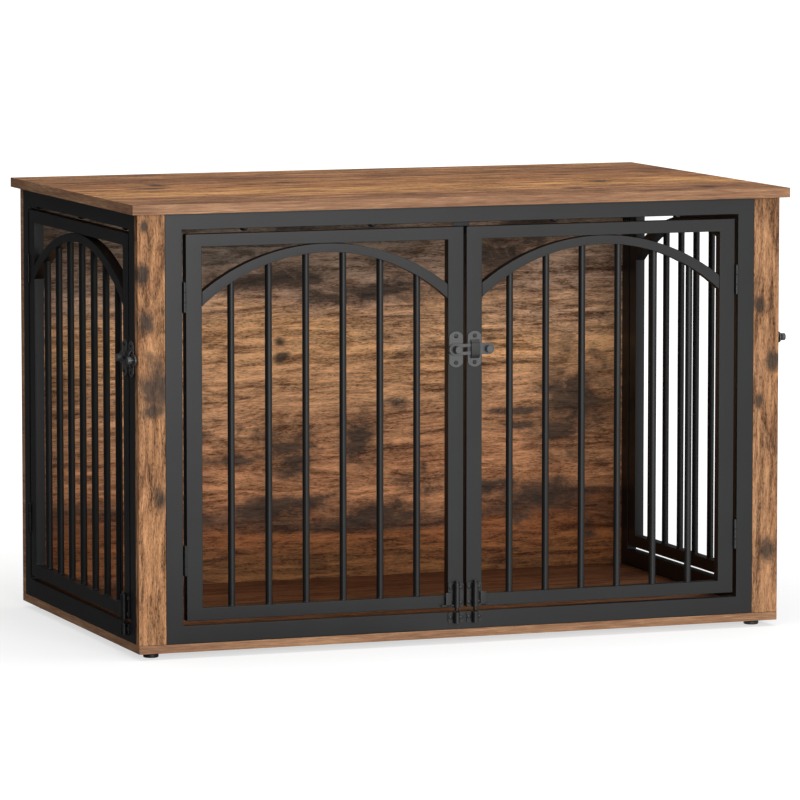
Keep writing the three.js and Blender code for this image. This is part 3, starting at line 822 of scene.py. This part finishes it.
def moved(piece, x=0.0, y=0.0, z=0.0):
    """A piece moved, its place in its mesh."""
    piece.location = (x, y, z)
    select_only(piece)
    bpy.ops.object.transform_apply()
    return piece


def bolt_barrel(z0, z1):
    """A length of the barrel that the rod runs in."""
    return barrel(-AXIS_OUT, z0, z1, BORE_RADIUS, BARREL_RADIUS, BARREL_EDGE, sides=40)


def screw_at(x, z):
    """A copy of the screw with its head on a plate."""
    return moved(own_copy(screw), x, -PLATE_FACE, z)


screw = domed_screw(SCREW_RADIUS, SCREW_HEIGHT, SCREW_RECESS)
screw_x, screw_z = BOLT_SCREWS[0] / 2, BOLT_SCREWS[1] / 2
middle = BOLT_PLATE_HEIGHT / 2
plate = moved(screwed_plate(BOLT_PLATE_WIDTH, BOLT_PLATE_HEIGHT, BOLT_PLATE_CORNER), z=middle)
tube = bolt_barrel(0, BOLT_PLATE_HEIGHT)
slot_half = ARM_HALF + ARM_CLEARANCE
slot = block(-2 * BARREL_RADIUS, 0, -AXIS_OUT - slot_half, -AXIS_OUT + slot_half,
             -1 * MM, ARM_HIGH + ARM_CLEARANCE, ease=0)
tube = combined(tube, slot, "DIFFERENCE")
coated(black_zinc, screw, plate, tube)
barrel_master = joined([plate, tube] + [
    screw_at(x * screw_x, middle + z * screw_z) for x in (-1, 1) for z in (-1, 1)
])

rod = turned(
    [
        (ROD_TIP, 0.7 * ROD_RADIUS), (ROD_TIP + ROD_CHAMFER, ROD_RADIUS),
        (BOLT_PLATE_HEIGHT + ROD_END - ROD_CHAMFER, ROD_RADIUS),
        (BOLT_PLATE_HEIGHT + ROD_END, 0.7 * ROD_RADIUS),
    ],
    centre=(0, -AXIS_OUT, 0),
)
front, back = -AXIS_OUT - ARM_HALF, -AXIS_OUT + ARM_HALF
arm = block(-ARM_REACH, 0, front, back, ARM_LOW, ARM_HIGH, ease=0.6 * MM)
tab = block(-TAB_FAR, -TAB_NEAR, front, back, ARM_LOW, TAB_HIGH, ease=0.8 * MM)
rod_master = joined([rod, arm, tab])
coated(black_zinc, rod_master)

plate = moved(screwed_plate(BOLT_PLATE_WIDTH, KEEPER_HEIGHT, BOLT_PLATE_CORNER),
              z=-KEEPER_HEIGHT / 2)
tube = bolt_barrel(-KEEPER_HEIGHT, 0)
coated(black_zinc, plate, tube)
keeper_master = joined([plate, tube] + [
    screw_at(x * screw_x, -KEEPER_HEIGHT / 2) for x in (-1, 1)
])

for door, (wall, hand) in DOORS.items():
    x0, x1, z0, _ = wall_span(f"{door}_bolt_barrel", wall)
    x = (x0 + x1) / 2
    keeper_top = wall_span(f"{door}_bolt_keeper", wall)[3]
    for master, part, height, body in (
        (barrel_master, "barrel", z0, f"{door}_door"), (rod_master, "rod", z0, f"{door}_bolt"),
        (keeper_master, "keeper", keeper_top, "crate"),
    ):
        piece = on_wall(master, wall, x, height, hand)
        finished(piece, f"{door}_bolt_{part}_pressed", body, "hardware_steel",
                 f"{door}_bolt_{part}")
for master in (barrel_master, rod_master, keeper_master):
    bpy.data.objects.remove(master)

# --- Latches --------------------------------------------------------------------------------
# Pressed steel sliding latches, one for both front doors and one for each side door. A keeper
# plate on the door carries a keyhole loop and a knob. Across the gap, a guide plate's bridge
# holds a forked slider with a knob of its own.
LATCH_PLATE = (20.8 * MM, 51.5 * MM)
LATCH_PLATE_ROUND = 6 * MM  # rise of its round ends
LATCH_SCREWS = 38 * MM  # spacing up
SLIDER_LENGTH = 43 * MM
SLIDER_HALF = 8 * MM
SLOT_HALF = 3.25 * MM
TIP_GAP = 0.8 * MM  # between the loop's end and the slider's, over the middle of the gap
KNOB_INSET = 9.7 * MM
LATCH_EDGE = 0.25 * MM
SLIDER_BACK, SLIDER_FACE = 2.2 * MM, 4.2 * MM
LOOP_BACK, LOOP_FACE = 4.6 * MM, 6.2 * MM
LOOP_EYE = 5.6 * MM
KNOB_RADIUS, KNOB_TOP, KNOB_NECK = 5.3 * MM, 13.4 * MM, 2.1 * MM
KNOB_EDGE = 0.5 * MM
BRIDGE_WIDTH, BRIDGE_LENGTH, BRIDGE_FACE = 13.3 * MM, 26.8 * MM, 7.2 * MM
BRIDGE_SHEET = 1.4 * MM
BRIDGE_FOOT = 1.2 * MM
SUNK = 0.3 * MM  # how far the loop's post and foot end inside the loop and the plate
SIDE_GAP = 5.5 * MM
FRONT_GAP = wall_span("front_right_door_frame", "front")[0] - wall_span(
    "front_left_door_frame", "front")[1]

# cathodic-dip coated steel: an even dark grey with a soft sheen
DIP_GRAIN = 0.9 * MM
dip_coat, tree, place = new_material("dip_coat_grey")
cloud = add_node(tree, "ShaderNodeTexNoise", {
    "Vector": place, "Scale": 1 / DIP_GRAIN, "Detail": 3, "Roughness": 0.7,
})
tone = add_node(tree, "ShaderNodeValToRGB", {"Fac": cloud},
                stops=[(0.3, "#3d3d3d"), (0.7, "#494949")])
shader = add_node(tree, "ShaderNodeBsdfPrincipled", {
    "Base Color": tone, "Metallic": 0.2, "Roughness": 0.42,
})
add_node(tree, "ShaderNodeOutputMaterial", {"Surface": shader})


def disc(radius, x=0.0, y=0.0):
    """A flat disc that faces out of the wall, left in edit mode."""
    bpy.ops.mesh.primitive_circle_add(
        vertices=96, radius=radius, fill_type="NGON", location=(x, y, 0),
        rotation=(math.pi / 2, 0, 0),
    )
    piece = bpy.context.object
    bpy.ops.object.transform_apply()
    bpy.ops.object.mode_set(mode="EDIT")
    return piece


def round_ended_plate():
    """A latch plate: a disc trimmed to width, its halves moved to the plate's ends."""
    width, height = LATCH_PLATE
    radius = ((width / 2) ** 2 + LATCH_PLATE_ROUND**2) / (2 * LATCH_PLATE_ROUND)
    plate = disc(radius, y=-PLATE_FACE)
    for side in (-1, 1):
        bpy.ops.mesh.select_all(action="SELECT")
        bpy.ops.mesh.bisect(plane_co=(side * width / 2, 0, 0), plane_no=(side, 0, 0),
                            clear_outer=True)
    for side in (-1, 1):
        select_where(plate, "VERT", lambda at: side * at.z > 0)
        bpy.ops.transform.translate(value=(0, 0, side * (height / 2 - radius)))
    return eased(thickened(plate, PLATE_FACE - PLATE_BACK), 0.3 * MM)


def strap(round_x, end_x, back, face):
    """A flat strap with one round end: a disc whose other half is pulled out to end_x."""
    side = 1 if end_x > round_x else -1
    piece = disc(SLIDER_HALF, x=round_x, y=-face)
    bpy.ops.mesh.select_all(action="SELECT")
    bpy.ops.mesh.bisect(plane_co=(round_x, 0, 0), plane_no=(side, 0, 0), clear_outer=True)
    select_where(piece, "VERT", lambda at: abs(at.x - round_x) < SAME_PLACE)
    bpy.ops.mesh.select_mode(type="EDGE")
    bpy.ops.mesh.extrude_region_move(
        TRANSFORM_OT_translate={"value": (end_x - round_x, 0, 0)},
    )
    return thickened(piece, face - back)


def knob(x, foot, underside):
    """A turned knob on its neck, the edges of its head broken."""
    rim = KNOB_RADIUS - KNOB_EDGE
    return turned(
        [
            (foot, KNOB_NECK), (underside, KNOB_NECK), (underside, rim),
            (underside + KNOB_EDGE, KNOB_RADIUS), (KNOB_TOP - KNOB_EDGE, KNOB_RADIUS),
            (KNOB_TOP, rim), (KNOB_TOP, 0.3 * KNOB_RADIUS),
        ],
        axis="-Y", centre=(x, 0, 0), sides=40,
    )


def bridge(x):
    """A strap bent over the slider: a strip drawn through its bends, then given thickness."""
    end, under = BRIDGE_LENGTH / 2, BRIDGE_FACE - BRIDGE_SHEET
    rising = [(end, PLATE_FACE), (end - BRIDGE_FOOT, PLATE_FACE),
              (SLIDER_HALF + 1.0 * MM, under - 0.9 * MM), (SLIDER_HALF - 0.8 * MM, under)]
    (z, out), *rest = [(-z, out) for z, out in rising] + rising[::-1]
    bpy.ops.mesh.primitive_plane_add(size=BRIDGE_WIDTH, location=(x, -out, z))
    strip = bpy.context.object
    bpy.ops.object.transform_apply()
    bpy.ops.object.mode_set(mode="EDIT")
    # the plane is folded to a single line across the strap
    bpy.ops.transform.resize(value=(1, 0, 1), center_override=(x, -out, z))
    bpy.ops.mesh.remove_doubles(threshold=SAME_PLACE)
    bpy.ops.mesh.select_mode(type="EDGE")
    bpy.ops.mesh.select_all(action="SELECT")
    for next_z, next_out in rest:
        bpy.ops.mesh.extrude_region_move(
            TRANSFORM_OT_translate={"value": (0, out - next_out, next_z - z)},
        )
        z, out = next_z, next_out
    bpy.ops.mesh.select_all(action="SELECT")
    bpy.ops.mesh.normals_make_consistent(inside=False)
    bpy.ops.object.mode_set(mode="OBJECT")
    solidify = strip.modifiers.new("sheet", "SOLIDIFY")
    solidify.thickness = BRIDGE_SHEET
    solidify.offset = 1
    bpy.ops.object.modifier_apply(modifier=solidify.name)
    return eased(strip, 0.35 * MM)


def screwed_latch_plate(x):
    """A latch plate and its two screws, x along the wall, as a list of pieces."""
    plate = moved(round_ended_plate(), x=x)
    coated(dip_coat, plate)
    return [plate] + [screw_at(x, side * LATCH_SCREWS / 2) for side in (-1, 1)]


def latch(gap, upright):
    """The three pieces of a latch, the gap's middle at x = 0 and the door on its left."""
    keeper_x = -(gap + DOOR_STILE) / 2
    edge_x = -gap / 2 - DOOR_STILE
    eye_x = edge_x + SLIDER_HALF
    loop = strap(eye_x, -TIP_GAP / 2, LOOP_BACK, LOOP_FACE)
    eye = turned([(0, LOOP_EYE), (2 * LOOP_FACE, LOOP_EYE)], axis="-Y", centre=(eye_x, 0, 0),
                 sides=48)
    loop = combined(loop, eye, "DIFFERENCE")
    slot = block(eye_x, SLIDER_HALF, -2 * LOOP_FACE, 0, -SLOT_HALF, SLOT_HALF, ease=0)
    loop = eased(combined(loop, slot, "DIFFERENCE"), LATCH_EDGE)
    post = block(edge_x, eye_x - LOOP_EYE, -LOOP_FACE + SUNK, -PLATE_BACK,
                 -SLOT_HALF, SLOT_HALF)
    foot = block(edge_x, keeper_x, -PLATE_FACE + SUNK, -PLATE_BACK - SUNK,
                 -SLOT_HALF, SLOT_HALF)
    button = knob(keeper_x, PLATE_BACK + 0.5 * MM, LOOP_FACE + 0.2 * MM)
    coated(dip_coat, loop, post, foot, button)
    keeper = joined(screwed_latch_plate(keeper_x) + [loop, post, foot, button])

    guide_x = (gap + upright) / 2
    hump = bridge(guide_x)
    coated(black_zinc, hump)
    guide = joined(screwed_latch_plate(guide_x) + [hump])

    tip = TIP_GAP / 2
    end = tip + SLIDER_LENGTH
    fork = strap(end - SLIDER_HALF, tip, SLIDER_BACK, SLIDER_FACE)
    slot = block(tip - SLIDER_HALF, guide_x, -2 * SLIDER_FACE, 0, -SLOT_HALF, SLOT_HALF, ease=0)
    fork = eased(combined(fork, slot, "DIFFERENCE"), LATCH_EDGE)
    button = knob(end - KNOB_INSET, SLIDER_BACK + 1 * MM, BRIDGE_FACE + 0.5 * MM)
    coated(dip_coat, fork, button)
    return keeper, guide, joined([fork, button])


for walls, gap, upright in ((["front"], FRONT_GAP, DOOR_STILE),
                            (["left_side", "right_side"], SIDE_GAP, FRAME_TUBE)):
    masters = latch(gap, upright)
    for wall in walls:
        hand = -1 if wall == "right_side" else 1
        left, right, z0, z1 = wall_span(f"{wall}_latch_guide", wall)
        gap_x = (left + right) / 2 - hand * (gap + upright) / 2
        door, across = (
            ("front_left_door", "front_right_door") if wall == "front"
            else (f"{wall}_door", "crate")
        )
        for master, part, body in zip(
            masters, ("keeper", "guide", "slider"), (door, across, f"{wall}_latch"),
        ):
            piece = on_wall(master, wall, gap_x, (z0 + z1) / 2, hand)
            finished(piece, f"{wall}_latch_{part}_pressed", body, "hardware_steel",
                     f"{wall}_latch_{part}")
    for master in masters:
        bpy.data.objects.remove(master)
bpy.data.objects.remove(screw)

# --- Door stop and frame screws -------------------------------------------------------------
# A steel tab screwed behind the front frame's top rail, where both front doors close on it,
# and the domed heads of the screws that go up through the top rails into the top.
STOP_CORNER = 3 * MM
STOP_EDGE = 0.3 * MM
FRAME_SCREW_RADIUS = 5.8 * MM
FRAME_SCREW_HEIGHT = 3.9 * MM
FRAME_SCREWS = {
    "front": (-330 * MM, -138.7 * MM, 138.7 * MM, 330 * MM),
    "left_side": (-212 * MM, 0, 212 * MM),
    "right_side": (-212 * MM, 0, 212 * MM),
}

low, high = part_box("door_stop")
tab = upright_sheet(low.x, high.x, low.z, high.z, y=low.y - WALLS["front"][0][1])
bpy.ops.mesh.select_all(action="SELECT")
bpy.ops.mesh.bevel(offset=STOP_CORNER, segments=6, affect="VERTICES")
tab = eased(thickened(tab, high.y - low.y), STOP_EDGE)
coated(powder_coat, tab)
finished(on_wall(tab, "front"), "door_stop_tab", "crate", "frame_steel", "door_stop")
bpy.data.objects.remove(tab)

radius, height = FRAME_SCREW_RADIUS, FRAME_SCREW_HEIGHT
for wall, places in FRAME_SCREWS.items():
    rail_underside = wall_span(f"{wall}_frame", wall)[3] - FRAME_TOP_RAIL
    heads = []
    for x in places:
        head = turned(
            [
                (-0.3 * MM, radius), (0.25 * height, radius), (0.65 * height, 0.86 * radius),
                (0.9 * height, 0.6 * radius), (height, 0.3 * radius),
                (0.6 * height, 0.2 * radius),  # the recess for the key
            ],
            sides=24,
        )
        head.rotation_euler = (math.pi, 0, 0)
        heads.append(moved(head, x, TUBE_DEPTH / 2, rail_underside))
    heads = joined(heads)
    coated(black_zinc, heads)
    finished(on_wall(heads, wall), f"{wall}_frame_screws", "crate", "hardware_steel")
    bpy.data.objects.remove(heads)

# --- Top ------------------------------------------------------------------------------------
# The largest board overhangs the rest all round and hides the ends of the frame screws.
top_print = printed_pine(
    "printed_pine_top", "xy",
    [
        (-0.30, "#966b4c"), (-0.21, "#a17453"), (-0.13, "#c38f5e"), (-0.08, "#c9955f"),
        (-0.02, "#b27e53"), (0.07, "#aa7951"), (0.14, "#8d6346"), (0.20, "#a67853"),
        (0.30, "#a87c56"),
    ],
    [
        (-0.148, 0.060, 0.050, 0.020), (-0.348, 0.068, 0.016, 0.030),
        (-0.380, -0.004, 0.040, 0.030), (0.292, -0.076, 0.030, 0.040),
        (0.204, -0.196, 0.030, 0.024), (0.396, -0.228, 0.030, 0.040),
    ],
    114.0, contrast=1.5, scatter=0.4,
)
board("tabletop", 2, top_print, edge_band)

# --- Studio ---------------------------------------------------------------------------------
# A white floor and soft light, seen from the photograph's place. Only the gloss sees a dark
# surround, which keeps the steel nearly black but for the white room to its front and right.
FADE_FROM, FADE_TO = 0.6, 2.2  # metres from the crate, over which the floor turns white


def seen_straight(tree):
    """1 where the camera, a reflection or a view through glass looks, and 0 for other light."""
    rays = [add_node(tree, "ShaderNodeLightPath", output=ray)
            for ray in ("Is Camera Ray", "Is Glossy Ray", "Is Transmission Ray")]
    first = add_node(tree, "ShaderNodeMath", {0: rays[0], 1: rays[1]}, operation="MAXIMUM")
    return add_node(tree, "ShaderNodeMath", {0: first, 1: rays[2]}, operation="MAXIMUM")


bpy.ops.mesh.primitive_plane_add(size=60)
studio_floor = bpy.context.object
studio_floor.name = "studio_floor"
floor_paint, tree, place = new_material("studio_floor_paint")
paint = add_node(tree, "ShaderNodeBsdfDiffuse", {"Color": grey(0.5)})
distance = add_node(tree, "ShaderNodeVectorMath", {0: place}, output="Value", operation="LENGTH")
fade = add_node(tree, "ShaderNodeMapRange", {
    "Value": distance, "From Min": FADE_FROM, "From Max": FADE_TO, "To Min": 0.62, "To Max": 1.0,
}, interpolation_type="SMOOTHSTEP")
lift = add_node(tree, "ShaderNodeMath", {0: seen_straight(tree), 1: fade}, operation="MULTIPLY")
white = add_node(tree, "ShaderNodeEmission", {"Color": grey(1), "Strength": lift})
painted = add_node(tree, "ShaderNodeAddShader", {0: paint, 1: white})
add_node(tree, "ShaderNodeOutputMaterial", {"Surface": painted})
coated(floor_paint, studio_floor)

world = bpy.data.worlds.new("studio")
bpy.context.scene.world = world
world.use_nodes = True
tree = world.node_tree
tree.nodes.clear()
dome = add_node(tree, "ShaderNodeBackground", {"Color": grey(1), "Strength": 0.45})
white = add_node(tree, "ShaderNodeBackground", {"Color": grey(1), "Strength": 1.0})
room = add_node(tree, "ShaderNodeMixShader", {0: seen_straight(tree), 1: dome, 2: white})
add_node(tree, "ShaderNodeOutputWorld", {"Surface": room})

SURROUND_RADIUS = 9.0
SURROUND_HEIGHT = 7.0
OPEN_FROM, OPEN_TO = -8, 80  # degrees to the right of straight ahead of the crate's front
bpy.ops.mesh.primitive_cylinder_add(
    vertices=72, radius=SURROUND_RADIUS, depth=SURROUND_HEIGHT, end_fill_type="TRIFAN",
    location=(0, 0, SURROUND_HEIGHT / 2 + 1 * MM),
)
surround = bpy.context.object
bpy.ops.object.transform_apply()
# the top and the open side are taken out
select_where(surround, "FACE", lambda at: (
    at.z > 0.9 * SURROUND_HEIGHT or OPEN_FROM < math.degrees(math.atan2(at.x, -at.y)) < OPEN_TO
))
bpy.ops.mesh.delete(type="FACE")
bpy.ops.object.mode_set(mode="OBJECT")
surround.name = "black_surround"
surround.visible_camera = False
surround.visible_diffuse = False
surround.visible_shadow = False
surround.visible_transmission = False
dark_cloth, tree, _ = new_material("dark_cloth")
glow = add_node(tree, "ShaderNodeEmission", {"Color": grey(1), "Strength": 0.08})
add_node(tree, "ShaderNodeOutputMaterial", {"Surface": glow})
coated(dark_cloth, surround)


def softbox(name, place, target, width, height, watts):
    """A rectangular soft light that looks at a point."""
    bpy.ops.object.light_add(type="AREA", location=place)
    lamp = bpy.context.object
    lamp.name = name
    lamp.data.shape = "RECTANGLE"
    lamp.data.size = width
    lamp.data.size_y = height
    lamp.data.energy = watts
    lamp.rotation_euler = (Vector(target) - Vector(place)).to_track_quat("-Z", "Y").to_euler()
    lamp.visible_camera = False


softbox("softbox_front", (-0.1, -5.2, 1.15), (0, 0, 0.35), 2.6, 1.9, 175)
softbox("softbox_above", (0.3, -0.6, 3.4), (0, 0, 0.6), 2.4, 2.4, 45)

CAMERA_PLACE = (-2.881457, -7.814635, 1.227516)
YAW, PITCH = 0.354069, 0.108348  # radians to the right of +Y, and down
bpy.ops.object.camera_add()
camera = bpy.context.object
camera.location = CAMERA_PLACE
camera.rotation_euler = (math.pi / 2 - PITCH, 0, -YAW)
camera.data.sensor_width = 36
camera.data.lens = 255.524
camera.data.clip_end = 100
bpy.context.scene.camera = camera
bpy.context.scene.view_settings.view_transform = "Standard"
